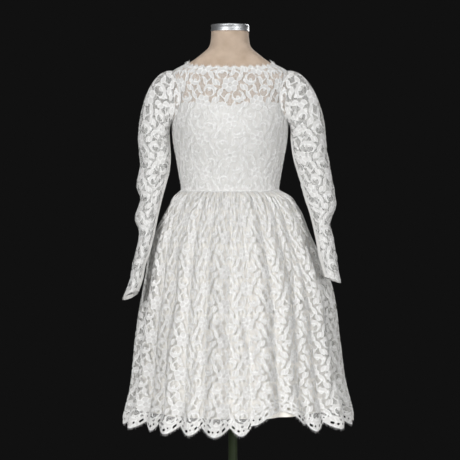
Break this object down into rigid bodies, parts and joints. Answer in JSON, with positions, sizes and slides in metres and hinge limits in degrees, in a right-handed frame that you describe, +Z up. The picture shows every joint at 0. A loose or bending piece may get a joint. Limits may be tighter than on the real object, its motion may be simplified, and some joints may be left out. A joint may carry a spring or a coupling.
{
  "type": "lace wedding dress on a dress form with a stand",
  "caption": "Tea-length lace wedding dress with a boat neck, long sleeves and a gathered skirt, worn by a limbless dress form on a pole and a round base.",
  "frame": {"origin": "middle of the flat underside of the stand's round base", "axes": "+Z up along the pole, -Y out of the front of the dress, +X to the dress's right side as seen from the front"},
  "size_m": [0.6582, 0.6181, 1.4798],
  "materials": {
    "lace": "corded white lace on fine net",
    "lining": "cream taffeta, soft sheen",
    "form_cloth": "tan linen cover",
    "steel": "satin",
    "enamel": "dark green enamel"
  },
  "bodies": {
    "root": {"form_torso": "form_cloth", "neck_cap": "steel", "pole": "enamel", "form_hub": "enamel", "base": "enamel", "bodice_lining_front": "lining", "bodice_lining_back": "lining", "bodice_lace_front": "lace", "bodice_lace_back_left": "lace", "bodice_lace_back_right": "lace", "skirt_lining_front": "lining", "skirt_lining_back": "lining", "skirt_lace_front": "lace", "skirt_lace_back": "lace", "sleeve_left_outer": "lace", "sleeve_left_under": "lace", "sleeve_right_outer": "lace", "sleeve_right_under": "lace"}
  },
  "joints": []
}
